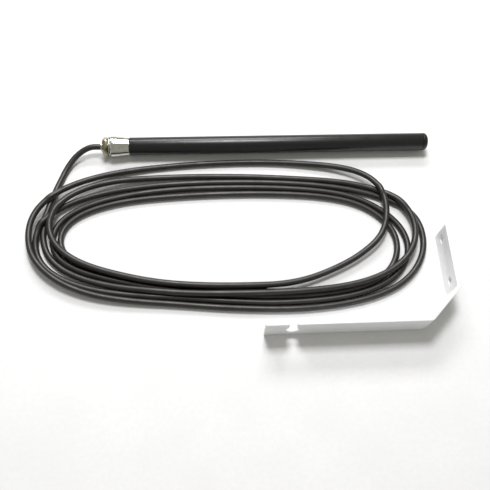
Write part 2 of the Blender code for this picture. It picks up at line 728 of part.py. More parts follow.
def make_coil(mats):
    """One closed body with the outer shape of the coiled cable."""
    outer = (COIL_HALF_LENGTH, COIL_HALF_WIDTH)
    inner = (COIL_HALF_LENGTH - COIL_BAND_ENDS, COIL_HALF_WIDTH - COIL_BAND_SIDES)
    r = COIL_ROUNDING
    section = [(0.0, 0.0, r), (0.0, 0.0, COIL_HEIGHT - r)]
    section += [(0.0, r, COIL_HEIGHT), (1.0, -r, COIL_HEIGHT)]
    section += [(1.0, 0.0, COIL_HEIGHT - r), (1.0, 0.0, r), (1.0, -r, 0.0), (0.0, r, 0.0)]
    bm = bmesh.new()
    loops = []
    for share, inset, z in section:
        half_length = outer[0] + (inner[0] - outer[0]) * share - inset
        half_width = outer[1] + (inner[1] - outer[1]) * share - inset
        loops.append(
            [
                bm.verts.new((COIL_CENTRE[0] + x, COIL_CENTRE[1] + y, z))
                for x, y in oval(half_length, half_width, COIL_STEPS)
            ]
        )
    for loop, following in zip(loops, loops[1:] + loops[:1]):
        for i in range(COIL_STEPS):
            j = (i + 1) % COIL_STEPS
            bm.faces.new((loop[i], loop[j], following[j], following[i]))
    place("cable_coil", bm, mats["jacket"], None, (EXIT_X, EXIT_Y, 0))


# ---- the bracket --------------------------------------------------------------------------------


def offset_corner(before, corner, after, distance, radius):
    """Arc that turns a corner of the bar's face, offset to the left of its outer line."""
    into = (corner - before).normalized()
    out = (after - corner).normalized()
    turn = math.atan2(into.x * out.y - into.y * out.x, into.dot(out))
    left = Vector((-into.y, into.x))
    centre = corner - into * radius * math.tan(turn / 2) + left * radius
    reach = radius - distance
    start = math.atan2(-left.y, -left.x)
    return [
        centre
        + Vector(
            (
                reach * math.cos(start + turn * i / ARC_STEPS),
                reach * math.sin(start + turn * i / ARC_STEPS),
            )
        )
        for i in range(ARC_STEPS + 1)
    ]


def bar_outline():
    """Plan outline of the bent bar, from the free end of the arm round to the flange and back."""
    start = Vector((0, 0))
    first = start + Vector((ARM_LENGTH, 0))
    second = first + Vector((math.cos(CRANK_ANGLE), math.sin(CRANK_ANGLE))) * CRANK_LENGTH
    end = second + Vector((0, FLANGE_LENGTH))
    outer_radius = BEND_RADIUS + BAR_THICKNESS
    sides = []
    for distance in (0.0, BAR_THICKNESS):
        side = [start + Vector((0, distance))]
        side += offset_corner(start, first, second, distance, outer_radius)
        side += offset_corner(first, second, end, distance, outer_radius)
        side += [end + Vector((-distance, 0))]
        sides.append(side)
    return sides[0] + sides[1][::-1]


def make_bracket(mats, corner):
    """Bent flat bar with an open keyhole in the arm and two screw holes in the flange."""
    bm = bmesh.new()
    outline = [bm.verts.new((p.x, p.y, 0.0)) for p in bar_outline()]
    face = bm.faces.new(outline)
    grown = bmesh.ops.extrude_face_region(bm, geom=[face])
    lifted = [v for v in grown["geom"] if isinstance(v, bmesh.types.BMVert)]
    bmesh.ops.translate(bm, vec=(0, 0, BAR_WIDTH), verts=lifted)
    far = max(v.co.y for v in bm.verts)
    ends = [
        e
        for e in bm.edges
        if abs(e.verts[0].co.z - e.verts[1].co.z) < 1e-6
        and (
            all(abs(v.co.x) < 1e-6 for v in e.verts)
            or all(abs(v.co.y - far) < 1e-6 for v in e.verts)
        )
    ]
    bmesh.ops.bevel(
        bm,
        geom=ends,
        offset=BAR_CORNER_RADIUS,
        offset_type="OFFSET",
        segments=3,
        profile=0.5,
        affect="EDGES",
        material=-1,
    )
    bracket = place("bracket", bm, mats["white"], corner)

    depth = 4 * BAR_THICKNESS
    middle = BAR_WIDTH / 2
    keyhole = rod_mesh(
        (NECK_DIAMETER + KEYHOLE_CLEARANCE) / 2,
        depth,
        (KEYHOLE_FROM_END, BAR_THICKNESS / 2, middle),
        "Y",
        32,
    )
    boolean(bracket, place("keyhole_drill", keyhole, mats["white"], corner), "DIFFERENCE")
    slot_width = CABLE_DIAMETER + KEYHOLE_SLOT_CLEARANCE
    slot = block(
        "keyhole_slot",
        (slot_width, depth, BAR_WIDTH),
        (KEYHOLE_FROM_END, BAR_THICKNESS / 2, BAR_WIDTH),
        mats["white"],
        corner,
    )
    boolean(bracket, slot, "DIFFERENCE")

    flange_x = ARM_LENGTH + CRANK_LENGTH * math.cos(CRANK_ANGLE)
    flange_end = CRANK_LENGTH * math.sin(CRANK_ANGLE) + FLANGE_LENGTH
    for number in range(SCREW_HOLES):
        y = flange_end - SCREW_HOLE_FROM_END - number * SCREW_HOLE_SPACING
        drill = rod_mesh(
            SCREW_HOLE_DIAMETER / 2,
            depth,
            (flange_x - BAR_THICKNESS / 2, y, middle),
            "X",
            24,
        )
        boolean(bracket, place(f"screw_drill_{number + 1}", drill, mats["white"], corner), "DIFFERENCE")


# ---- build --------------------------------------------------------------------------------------


def make_materials():
    return {
        "black": material("black anodised aluminium", (0.018, 0.018, 0.020), 0.42, 0.4),
        "chrome": material("chromium-plated brass", (0.72, 0.73, 0.70), 0.12, 1.0),
        "nickel brass": material("nickel-plated brass", (0.62, 0.58, 0.48), 0.25, 1.0),
        "nickel": material("nickel", (0.60, 0.58, 0.54), 0.30, 1.0),
        "brass": material("brass", (0.72, 0.52, 0.22), 0.32, 1.0),
        "glass": material("clear glass", (0.92, 0.95, 0.95), 0.05, 0.0, 0.4),
        "rubber": material("nitrile rubber", (0.02, 0.02, 0.02), 0.75),
        "grey plastic": material("grey polyamide", (0.16, 0.16, 0.17), 0.55),
        "board": material("green solder mask", (0.02, 0.16, 0.07), 0.40),
        "chip": material("black epoxy", (0.02, 0.02, 0.02), 0.50),
        "sleeve": material("blue capacitor sleeve", (0.03, 0.06, 0.22), 0.35),
        "trimmer": material("blue trimmer body", (0.04, 0.12, 0.45), 0.40),
        "terminal": material("green terminal body", (0.04, 0.30, 0.12), 0.45),
        "core": material("core insulation", (0.35, 0.10, 0.04), 0.45),
        "jacket": material("black PVC jacket", (0.025, 0.025, 0.025), 0.45),
        "white": material("white powder coat", (0.82, 0.82, 0.83), 0.45),
    }


def main():
    clear_scene()
    mats = make_materials()
    probe = empty("probe_axis", (EXIT_X - NECK_REAR, EXIT_Y, AXIS_HEIGHT))
    make_tube(mats, probe)
    make_nose(mats, probe)
    make_photocell(mats, probe)
    make_board(mats, probe)
    make_cone(mats, probe)
    make_washer_and_nut(mats, probe)
    make_lead(mats)
    make_coil(mats)
    corner = empty("bracket_corner", (EXIT_X + ARM_END_X, EXIT_Y + ARM_OUTER_Y, 0))
    make_bracket(mats, corner)


main()
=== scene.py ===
"""Looks of the flame sensor probe: tube, plated cone, nut, coiled cable and wall bracket."""

import math

import bmesh
import bpy
import numpy as np
from mathutils import Matrix, Vector


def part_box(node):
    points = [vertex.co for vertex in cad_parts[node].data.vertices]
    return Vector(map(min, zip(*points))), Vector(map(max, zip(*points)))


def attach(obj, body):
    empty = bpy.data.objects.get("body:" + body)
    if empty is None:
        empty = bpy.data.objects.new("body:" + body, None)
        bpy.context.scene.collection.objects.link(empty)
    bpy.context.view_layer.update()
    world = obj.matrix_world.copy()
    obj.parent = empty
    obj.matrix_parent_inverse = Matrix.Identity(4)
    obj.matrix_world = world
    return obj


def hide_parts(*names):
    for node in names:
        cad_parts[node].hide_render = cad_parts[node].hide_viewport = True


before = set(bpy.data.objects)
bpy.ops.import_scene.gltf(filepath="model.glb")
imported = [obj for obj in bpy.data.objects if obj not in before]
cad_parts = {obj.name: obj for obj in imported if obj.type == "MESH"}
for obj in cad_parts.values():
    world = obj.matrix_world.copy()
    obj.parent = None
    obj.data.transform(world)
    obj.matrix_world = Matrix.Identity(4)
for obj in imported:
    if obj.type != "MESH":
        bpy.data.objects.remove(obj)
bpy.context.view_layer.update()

MM = 0.001
WELD = 0.001 * MM  # points closer than this are one point

# ---- sizes that the frame gives -----------------------------------------------------------------

TUBE_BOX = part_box("probe_tube")
CONE_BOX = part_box("cone_body")
CAP_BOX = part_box("tip_cap")
NUT_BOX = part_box("fixing_nut")
WASHER_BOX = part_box("neck_washer")
BRACKET_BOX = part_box("bracket")
TUBE_RADIUS = (TUBE_BOX[1].z - TUBE_BOX[0].z) / 2
CONE_RADIUS = (CONE_BOX[1].z - CONE_BOX[0].z) / 2
AXIS = Vector((0, (TUBE_BOX[0].y + TUBE_BOX[1].y) / 2, (TUBE_BOX[0].z + TUBE_BOX[1].z) / 2))
TUBE_REAR = TUBE_BOX[0].x
TUBE_FRONT = TUBE_BOX[1].x
TIP = CAP_BOX[1].x
EXIT = Vector((CONE_BOX[0].x, AXIS.y, AXIS.z))

# ---- sizes that repeat the design's -------------------------------------------------------------

GAP = 0.3 * MM
TUBE_WALL = 1.5 * MM
CAP_NOSE_RADIUS = 4 * MM
SIGHT_HOLE_RADIUS = 4 * MM
CAP_SPIGOT_WALL = 2 * MM
CAP_LIP = 2.5 * MM
CONE_LENGTH = 19 * MM
CONE_BAND = 3.6 * MM
CONE_CHAMFER = 1.1 * MM
NECK_RADIUS = 5 * MM
NECK_CHAMFER = 0.5 * MM
NECK_BORE_RADIUS = 3.4 * MM
SPIGOT_WALL = 0.8 * MM
SPIGOT_CHAMFER = 0.5 * MM
GROOVE_WIDTH = 2.2 * MM
GROOVE_DEPTH = 1.1 * MM
GROOVE_INSET = 2.6 * MM
SEAL_CHAMBER_DEPTH = 8 * MM
THREAD_PITCH = 1 * MM
THREAD_DEPTH = 0.54 * MM
NUT_ACROSS_FLATS = 17 * MM
NUT_TURN = math.radians(19)
NUT_CHAMFER_SLOPE = math.radians(30)
BAR_THICKNESS = 3 * MM
BAR_WIDTH = 30 * MM
ARM_LENGTH = 148.4 * MM
CRANK_LENGTH = 42.6 * MM
FLANGE_LENGTH = 63.6 * MM
CRANK_ANGLE = math.radians(45)
BEND_RADIUS = 3 * MM
BAR_CORNER_RADIUS = 1.5 * MM
KEYHOLE_FROM_END = 24.8 * MM
KEYHOLE_RADIUS = 6.1 * MM
KEYHOLE_SLOT = 7.2 * MM
SCREW_HOLE_RADIUS = 3.75 * MM
SCREW_HOLE_FROM_END = 9.6 * MM
SCREW_HOLE_SPACING = 41.8 * MM

CABLE_DIAMETER = 6 * MM
CABLE_RADIUS = CABLE_DIAMETER / 2

# route of the uncoiled cable, as in the design: x and y from the exit, height of the underside
LEAD_STRAIGHT = 8 * MM
START_INSIDE = 3 * MM  # the neck
LEAD_ROUTE = [
    (-13.5 * MM, -1.2 * MM, 7.2 * MM),
    (-19.5 * MM, -4.0 * MM, 5.6 * MM),
    (-25.5 * MM, -8.8 * MM, 3.8 * MM),
    (-30.8 * MM, -15.4 * MM, 2.0 * MM),
    (-35.0 * MM, -23.0 * MM, 0.7 * MM),
    (-38.3 * MM, -31.2 * MM, 0.1 * MM),
    (-41.3 * MM, -39.6 * MM, 0.0 * MM),
    (-44.0 * MM, -48.0 * MM, 0.0 * MM),
    (-46.4 * MM, -56.6 * MM, 0.0 * MM),
]

# the coil: two ovals that the innermost and the outermost lanes follow (left, right, far, near)
INNER_OVAL = (-201 * MM, 116 * MM, 37 * MM, -55 * MM)
OUTER_OVAL = (-232 * MM, 152 * MM, 74 * MM, -82 * MM)
OVAL_SQUARENESS = 2.3
LANES = 5  # from the inner oval, lane 0, to the outer one
# Each turn runs anticlockwise from its far left corner. At twelve stations, 30 degrees apart, it
# gives its lane and the height of its underside in mm.
TURNS = [
    [(7.6, 0), (3.8, 0), (2.4, 1), (1.95, 4), (1.9, 5), (2.5, 6)]
    + [(3.5, 6), (3.4, 6), (3.6, 6), (3.5, 6), (3.0, 4), (3.5, 3)],
    [(4.3, 5), (3.1, 8), (0.0, 7), (-0.5, 5), (0.4, 5), (0.9, 5)]
    + [(-1.1, 1), (-2.1, 3), (0.5, 9), (5.2, 10), (5.5, 1), (5.3, 0)],
    [(5.6, 2), (5.4, 4), (4.3, 7), (4.1, 5), (3.5, 0), (5.3, 0)]
    + [(6.2, 0), (5.1, 0), (4.4, 0), (3.0, 0), (2.3, 0), (2.4, 0)],
    [(2.9, 0), (3.6, 5), (4.4, 0), (3.6, 0), (2.4, 0), (3.9, 0)]
    + [(4.8, 0), (3.1, 0), (1.4, 0), (1.5, 0), (1.4, 0), (1.5, 0)],
    [(1.6, 3), (1.8, 1), (1.4, 0), (0.6, 0), (1.3, 0), (2.9, 0)]
    + [(3.8, 0), (1.6, 0), (0.5, 0), (1.0, 0), (0.6, 0), (0.5, 0)],
    [(0.9, 0), (0.8, 0), (0.1, 0), (-0.6, 0), (0.2, 0), (1.9, 0)],
]
COIL_START = 1.0  # stations past the far left corner where the lead runs into the first turn
COIL_END = 4.8  # stations past the far left corner where the last turn ends
STATIONS = 12
FIRST_STATION = 135
CABLE_STEP = 2 * MM
CABLE_ROUNDNESS = 5
POINTS_PER_TURN = 60

# how the cable settles on the floor
HELD_LENGTH = 75 * MM  # of lead that keeps its route exactly
EASE_POINTS = 25  # over which the held stretch passes into the free one
EVENING_PASSES = 40  # that take the corners out of the planned route
SETTLING_ROUNDS = 240
LATE_ROUNDS = 60  # at the end, with gentler pulls
SINK = (0.05 * MM, 0.02 * MM)  # a round's fall, early and late
PLAN_PULL = (0.03, 0.01)  # share of the way back to the plan, early and late
STIFFNESS = ((1, 0.3), (3, 0.3), (8, 0.25))  # points each way, and share of the bend taken out
PAIRS_EVERY = 10  # rounds, the near pairs are looked for again
NEIGHBOURS = 7  # points along the cable that don't push each other
PUSHES = 6  # of touching turns in each round
PUSH_SHARE = 0.9
SPACING = 1.01 * CABLE_DIAMETER
POINTS_AT_ONCE = 400  # to keep the distance tables small


# ---- tools --------------------------------------------------------------------------------------

AT_AXIS = Matrix.Translation(AXIS)
SHARP_ANGLE = math.radians(32)  # between faces, past which an edge shows as a crease
FULL_TURN_STEPS = 128


def catmull(a, b, c, d, t):
    """The smooth curve from b to c that a and d lead into and out of."""
    return 0.5 * (
        2 * b
        + (c - a) * t
        + (2 * a - 5 * b + 4 * c - d) * t**2
        + (3 * b - a - 3 * c + d) * t**3
    )


def evenly(points, step):
    """The same line with its points a step apart."""
    along = np.concatenate([[0], np.cumsum(np.linalg.norm(np.diff(points, axis=0), axis=1))])
    at = np.linspace(0, along[-1], round(along[-1] / step) + 1)
    return np.stack([np.interp(at, along, points[:, k]) for k in range(3)], axis=1)


def finished(name, mesh, body, material, replaced=()):
    """Gives a mesh its material, smooth shading, object and body, and hides the parts that it replaces.
    """
    mesh.materials.clear()
    mesh.materials.append(material)
    mesh.shade_smooth()
    mesh.set_sharp_from_angle(angle=SHARP_ANGLE)
    piece = bpy.data.objects.new(name, mesh)
    bpy.context.scene.collection.objects.link(piece)
    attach(piece, body)
    if replaced:
        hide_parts(*replaced)


def mesh_of(bm, name, place=Matrix.Identity(4)):
    """Writes a bmesh out as a mesh with its faces pointing out."""
    bmesh.ops.transform(bm, matrix=place, verts=bm.verts[:])
    bmesh.ops.remove_doubles(bm, verts=bm.verts[:], dist=WELD)
    bmesh.ops.recalc_face_normals(bm, faces=bm.faces[:])
    mesh = bpy.data.meshes.new(name)
    bm.to_mesh(mesh)
    bm.free()
    return mesh


def arc(x, r, radius, start, end, steps=8):
    """Points of an arc round (x, r), from a start to an end in degrees."""
    turn = [math.radians(start + (end - start) * i / steps) for i in range(steps + 1)]
    return [(x + radius * math.cos(a), r + radius * math.sin(a)) for a in turn]


def turned(outline, steps=FULL_TURN_STEPS, closed=True):
    """Spins an outline of (x, r) points round the probe's axis."""
    bm = bmesh.new()
    verts = [bm.verts.new((x, 0, r)) for x, r in outline]
    pairs = list(zip(verts, verts[1:]))
    if closed:
        pairs.append((verts[-1], verts[0]))
    edges = [bm.edges.new(pair) for pair in pairs]
    bmesh.ops.spin(
        bm,
        geom=verts + edges,
        cent=(0, 0, 0),
        axis=(1, 0, 0),
        angle=math.tau,
        steps=steps,
        use_merge=True,
    )
    return bm


def round_line(name, points, radius, roundness, material):
    """A round cable or wire along points, which rides on the probe."""
    curve = bpy.data.curves.new(name, "CURVE")
    curve.dimensions = "3D"
    curve.bevel_depth = 1.0  # times each point's own radius
    curve.bevel_resolution = roundness
    curve.use_fill_caps = True
    spline = curve.splines.new("POLY")
    spline.points.add(len(points) - 1)
    for spot, point in zip(spline.points, points):
        spot.co = (*point, 1)
        spot.radius = radius
    piece = bpy.data.objects.new(name, curve)
    bpy.context.scene.collection.objects.link(piece)
    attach(piece, "probe")
    curve.materials.append(material)
    return piece


# ---- materials ----------------------------------------------------------------------------------

# Real grains are a few hundredths of a millimetre. Here they are drawn coarser, so that they show.
NOISE_DETAIL = 3.0
NOISE_ROUGHNESS = 0.55
PATCH_GRAINS = 14  # how many grains across a broad patch is
PATCH_DETAIL = 2.0
DARKEST, LIGHTEST = 0.12, 0.40  # of grain times patch, where the two colours are pure


def srgb(text):
    """The linear colour of a hex colour."""
    levels = [int(text[i : i + 2], 16) / 255 for i in (1, 3, 5)]
    return (*[v / 12.92 if v <= 0.04045 else ((v + 0.055) / 1.055) ** 2.4 for v in levels], 1)


def add(tree, kind, inputs=None, **settings):
    """Adds a node with its settings; an input is a value or another node's output."""
    node = tree.nodes.new(kind)
    for name, value in settings.items():
        setattr(node, name, value)
    for name, value in (inputs or {}).items():
        if isinstance(value, bpy.types.NodeSocket):
            tree.links.new(value, node.inputs[name])
        else:
            node.inputs[name].default_value = value
    return node


def surface(name, light, dark, metallic, roughness, grain, bump, stretch=(1, 1, 1), **more):
    """A surface whose colour and roughness vary over a grain size, with a relief bump high."""
    made = bpy.data.materials.new(name)
    made.use_nodes = True
    tree = made.node_tree
    shader = tree.nodes["Principled BSDF"]
    place = add(tree, "ShaderNodeTexCoord").outputs["Object"]
    where = add(tree, "ShaderNodeMapping", {"Vector": place, "Scale": stretch}).outputs["Vector"]
    noise = {
        "Vector": where,
        "Scale": 1 / grain,
        "Detail": NOISE_DETAIL,
        "Roughness": NOISE_ROUGHNESS,
    }
    fine = add(tree, "ShaderNodeTexNoise", noise).outputs["Fac"]
    broad = {"Vector": place, "Scale": 1 / (PATCH_GRAINS * grain), "Detail": PATCH_DETAIL}
    patches = add(tree, "ShaderNodeTexNoise", broad).outputs["Fac"]
    blend = add(tree, "ShaderNodeMath", {0: fine, 1: patches}, operation="MULTIPLY").outputs[0]
    spread = {"Value": blend, "From Min": DARKEST, "From Max": LIGHTEST}
    share = add(tree, "ShaderNodeMapRange", spread).outputs["Result"]
    ramp = add(tree, "ShaderNodeMix", {"Factor": share}, data_type="RGBA")
    ramp.inputs[6].default_value = srgb(dark)  # A, the colour one
    ramp.inputs[7].default_value = srgb(light)  # B, the colour one
    tree.links.new(ramp.outputs[2], shader.inputs["Base Color"])  # its colour result
    low, high = roughness
    range_of = {"Value": share, "To Min": high, "To Max": low}
    rough = add(tree, "ShaderNodeMapRange", range_of).outputs["Result"]
    tree.links.new(rough, shader.inputs["Roughness"])
    relief = {"Height": fine, "Strength": 1.0, "Distance": bump}
    normal = add(tree, "ShaderNodeBump", relief).outputs["Normal"]
    tree.links.new(normal, shader.inputs["Normal"])
    shader.inputs["Metallic"].default_value = metallic
    for socket, value in more.items():
        shader.inputs[socket.replace("_", " ")].default_value = value
    return made


# Black anodised aluminium tube, drawn, etched and dyed: satin, with a fine dull speckle.
black_anodised = surface(
    "black_anodised_aluminium", "#171618", "#0a0a0b", 0.0, (0.26, 0.38), 0.9 * MM, 0.02 * MM, IOR=1.5
)
# Turned brass with bright chromium plate: mirror-like, with faint rings left by the tool.
chromium_plate = surface(
    "chromium_plated_brass", "#e2e3dc", "#c9cabf", 1.0, (0.08, 0.16), 0.25 * MM, 0.002 * MM,
    stretch=(1, 0.02, 0.02)
)
# Hexagon bar, faced and nickel-plated: warmer and duller than the cone, brushed along its flats.
nickel_plate = surface(
    "nickel_plated_brass", "#a69e86", "#7d7663", 1.0, (0.16, 0.28), 0.3 * MM, 0.006 * MM,
    stretch=(0.1, 1, 1)
)
# Stamped steel washer with a tumbled bright zinc plate: greyish, softly glossy.
zinc_plate = surface(
    "zinc_plated_steel", "#c7c7c4", "#a2a29f", 1.0, (0.30, 0.42), 0.5 * MM, 0.006 * MM
)
# Extruded flexible PVC: dark grey, a soft sheen with slightly duller, dusty stretches.
pvc_jacket = surface(
    "extruded_pvc_jacket", "#2b2826", "#171514", 0.0, (0.36, 0.50), 0.8 * MM, 0.02 * MM, IOR=1.52
)
# Polyester powder coat baked on steel: white, half gloss, with a shallow orange peel.
powder_coat = surface(
    "white_powder_coat", "#f0f1f2", "#e6e7e9", 0.0, (0.32, 0.42), 2.2 * MM, 0.03 * MM, IOR=1.5
)
# Drawn brass can with bright nickel: smooth, a little soft in its reflections.
bright_nickel = surface(
    "drawn_nickel_can", "#cdcac2", "#b5b1a7", 1.0, (0.2, 0.3), 0.4 * MM, 0.004 * MM
)
# Plain turned brass, unplated: yellow, with a fine tool grain.
turned_brass = surface(
    "turned_brass", "#d8b45e", "#b8913f", 1.0, (0.22, 0.34), 0.3 * MM, 0.004 * MM
)
# Glass, ground and polished flat: clear, nearly without grain.
clear_glass = surface(
    "ground_clear_glass", "#f4f8f6", "#eef4f1", 0.0, (0.02, 0.04), 1.0 * MM, 0.0005 * MM,
    Transmission_Weight=1.0, IOR=1.5
)
# Nitrile rubber, moulded: black and dull.
nitrile_rubber = surface(
    "moulded_nitrile", "#232323", "#171717", 0.0, (0.55, 0.7), 0.5 * MM, 0.01 * MM
)
# Polyamide, injection-moulded: mid grey, with a matt eroded face.
grey_polyamide = surface(
    "moulded_polyamide", "#5a5b5d", "#4b4c4e", 0.0, (0.45, 0.6), 0.6 * MM, 0.01 * MM
)
# Glass-fibre board under a green solder mask: glossy, with a faint weave-like mottle.
solder_mask = surface(
    "green_solder_mask", "#1e7a46", "#17633a", 0.0, (0.28, 0.4), 0.8 * MM, 0.008 * MM
)
# Epoxy, transfer-moulded round a chip: dark grey and matt.
chip_epoxy = surface(
    "moulded_epoxy", "#242424", "#191919", 0.0, (0.5, 0.62), 0.3 * MM, 0.005 * MM
)
# Polyolefin sleeve, shrunk on a capacitor's can: blue and smooth.
heat_shrink = surface(
    "blue_shrink_sleeve", "#2b3f86", "#223370", 0.0, (0.25, 0.35), 0.8 * MM, 0.004 * MM
)
# Moulded PBT of a trimmer: light blue, half matt.
trimmer_plastic = surface(
    "blue_moulded_pbt", "#2f63b4", "#27549c", 0.0, (0.35, 0.45), 0.6 * MM, 0.006 * MM
)
# Moulded polyamide of a terminal block: green, half matt.
terminal_plastic = surface(
    "green_moulded_pa", "#2f9452", "#277d45", 0.0, (0.35, 0.5), 0.6 * MM, 0.008 * MM
)
# Extruded PVC on the three cores: even in colour, with a soft sheen.
brown_core = surface("brown_core_pvc", "#7a4a2c", "#653b22", 0.0, (0.35, 0.45), 0.5 * MM, 0.004 * MM)
blue_core = surface("blue_core_pvc", "#2f5fae", "#264f95", 0.0, (0.35, 0.45), 0.5 * MM, 0.004 * MM)
black_core = surface("black_core_pvc", "#2a2a2a", "#1c1c1c", 0.0, (0.35, 0.45), 0.5 * MM, 0.004 * MM)
# Copper sleeve, tinned by dipping: pale grey and softly bright.
tinned_copper = surface(
    "tinned_copper", "#d2d2ce", "#b8b8b4", 1.0, (0.22, 0.35), 0.3 * MM, 0.003 * MM
)
# Uncoated white paper: matt, with a slight mottle.
white_paper = surface("white_paper", "#ebebed", "#e6e6e8", 0.0, (0.8, 0.9), 4 * MM, 0.02 * MM)

INNER_FINISHES = {
    "sight_glass": clear_glass,
    "glass_gasket": nitrile_rubber,
    "glass_retainer": black_anodised,
    "photocell_can": bright_nickel,
    "photocell_base": bright_nickel,
    "photocell_holder": grey_polyamide,
    "amplifier_board": solder_mask,
    "board_capacitor_1": heat_shrink,
    "board_capacitor_2": heat_shrink,
    "board_chip": chip_epoxy,
    "board_trimmer": trimmer_plastic,
    "board_carrier_front": grey_polyamide,
    "board_carrier_rear": grey_polyamide,
    "terminal_block": terminal_plastic,
    "core_wire_1": brown_core,
    "core_wire_2": blue_core,
    "core_wire_3": black_core,
    "cable_seal": nitrile_rubber,
    "cable_clamp": turned_brass,
    "cable_in_neck": pvc_jacket,
    "cone_o_ring": nitrile_rubber,
    "tip_o_ring": nitrile_rubber,
}
for node, finish in INNER_FINISHES.items():
    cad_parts[node].data.materials.clear()
    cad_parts[node].data.materials.append(finish)


# ---- the camera ---------------------------------------------------------------------------------

SENSOR_WIDTH = 36
LENS = 43.35
CAMERA_PLACE = Vector((-57.07, -244.23, 524.21)) * MM
CAMERA_PITCH = math.radians(66.13)  # below the horizon
CAMERA_YAW = math.radians(7.65)  # to the right of +Y
CAMERA_ROLL = math.radians(-5.53)


def make_camera():
    camera = bpy.data.objects.new("camera", bpy.data.cameras.new("camera"))
    bpy.context.scene.collection.objects.link(camera)
    bpy.context.scene.camera = camera
    camera.data.sensor_width = SENSOR_WIDTH
    camera.data.lens = LENS
    level = Vector((math.cos(CAMERA_YAW), -math.sin(CAMERA_YAW), 0))
    ahead = Vector((math.sin(CAMERA_YAW), math.cos(CAMERA_YAW), 0)) * math.cos(CAMERA_PITCH)
    ahead.z = -math.sin(CAMERA_PITCH)
    down = ahead.cross(level)
    right = math.cos(CAMERA_ROLL) * level + math.sin(CAMERA_ROLL) * down
    up = math.sin(CAMERA_ROLL) * level - math.cos(CAMERA_ROLL) * down
    turn = Matrix((right, up, -ahead)).transposed().to_4x4()
    camera.matrix_world = Matrix.Translation(CAMERA_PLACE) @ turn


make_camera()


# ---- the cable ----------------------------------------------------------------------------------


def on_oval(angle, lane):
    """A point of the plan at an angle round the coil, in degrees, and a lane."""
    share = lane / LANES
    left, right, far, near = (i + (o - i) * share for i, o in zip(INNER_OVAL, OUTER_OVAL))
    c, s = math.cos(math.radians(angle)), math.sin(math.radians(angle))
    power = 2 / OVAL_SQUARENESS
    return (
        (left + right) / 2 + (right - left) / 2 * math.copysign(abs(c) ** power, c),
        (far + near) / 2 + (far - near) / 2 * math.copysign(abs(s) ** power, s),
    )


def coil_route():
    """Points along all the turns, before the cable is laid down."""
    stations = np.array([station for turn in TURNS for station in turn], float)
    end = (len(TURNS) - 1) * STATIONS + COIL_END
    count = POINTS_PER_TURN * len(TURNS)
    points = []
    for i in range(count + 1):
        at = COIL_START + (end - COIL_START) * i / count
        k = min(int(at), len(stations) - 2)
        around = [stations[min(max(k + j, 0), len(stations) - 1)] for j in (-1, 0, 1, 2)]
        lane, lift = catmull(*around, at - k)
        x, y = on_oval(FIRST_STATION + 360 * at / STATIONS, lane)
        points.append((x, y, CABLE_RADIUS + max(lift, 0) * MM))
    return np.array(points)


def lead_route():
    """Points of the uncoiled stretch, from just inside the neck."""
    points = [EXIT + Vector((START_INSIDE, 0, 0)), EXIT, EXIT + Vector((-LEAD_STRAIGHT, 0, 0))]
    points += [EXIT + Vector((x, y, CABLE_RADIUS + lift - EXIT.z)) for x, y, lift in LEAD_ROUTE]
    return np.array([tuple(p) for p in points])


def smooth_line(points, per_step=8):
    """A smooth curve through points."""
    ends = np.vstack([2 * points[0] - points[1], points, 2 * points[-1] - points[-2]])
    line = [
        catmull(*ends[k : k + 4], i / per_step) for k in range(len(points) - 1) for i in range(per_step)
    ]
    return np.array(line + [points[-1]])


def near_pairs(p, reach, apart):
    """Pairs of points within reach of each other that aren't neighbours along the cable."""
    found = []
    for i in range(0, len(p), POINTS_AT_ONCE):
        d = p[i : i + POINTS_AT_ONCE, None, :] - p[None, :, :]
        a, b = np.nonzero(np.einsum("ijk,ijk->ij", d, d) < reach**2)
        a = a + i
        keep = b - a > apart
        found.append(np.stack([a[keep], b[keep]]))
    return np.concatenate(found, axis=1)


def spread(p, a, b, touch, share):
    """How far pairs that are too close move their points apart, averaged at each point."""
    d = p[b] - p[a]
    far = np.sqrt((d * d).sum(1))
    hit = far < touch
    a, b, d, far = a[hit], b[hit], d[hit], far[hit]
    push = d / np.maximum(far, 1e-9)[:, None] * (share * (touch - far))[:, None]
    n = len(p)
    shift = [np.bincount(b, push[:, k], n) - np.bincount(a, push[:, k], n) for k in range(3)]
    many = np.bincount(a, minlength=n) + np.bincount(b, minlength=n)
    return np.stack(shift, axis=1) / np.maximum(many, 1)[:, None]


def lay_down(route):
    """Settles the cable: turns push each other a diameter apart, gravity pulls, the floor holds."""
    p = evenly(route, CABLE_STEP)
    fixed = round(HELD_LENGTH / CABLE_STEP)
    for _ in range(EVENING_PASSES):
        p[fixed:-1] = (p[fixed - 1 : -2] + 2 * p[fixed:-1] + p[fixed + 1 :]) / 4
    plan = p.copy()
    free = np.ones(len(p))
    free[:fixed] = 0
    free[fixed : fixed + EASE_POINTS] = np.linspace(0, 1, EASE_POINTS)
    free = free[:, None]
    for step in range(SETTLING_ROUNDS):
        if step % PAIRS_EVERY == 0:
            a, b = near_pairs(p, 2 * CABLE_DIAMETER, NEIGHBOURS)
        late = step > SETTLING_ROUNDS - LATE_ROUNDS
        settle = np.zeros_like(p)
        settle[:, 2] = -SINK[late]
        settle += PLAN_PULL[late] * (plan - p) * (1, 1, 0)
        for reach, pull in STIFFNESS:
            bend = (p[: -2 * reach] + p[2 * reach :]) / 2 - p[reach:-reach]
            base = (plan[: -2 * reach] + plan[2 * reach :]) / 2 - plan[reach:-reach]
            settle[reach:-reach] += pull * (bend - base * (1, 1, 0))
        p += free * settle
        for _ in range(PUSHES):
            p += free * spread(p, a, b, SPACING, PUSH_SHARE)
            p[:, 2] = np.maximum(p[:, 2], CABLE_RADIUS)
    return p


def make_cable(line):
    cable = round_line("signal_cable", line, CABLE_RADIUS, CABLE_ROUNDNESS, pvc_jacket)
    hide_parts("cable_lead", "cable_coil")


cable_line = lay_down(np.vstack([smooth_line(lead_route()), coil_route()]))
make_cable(cable_line)


# ---- the free end of the cable ------------------------------------------------------------------

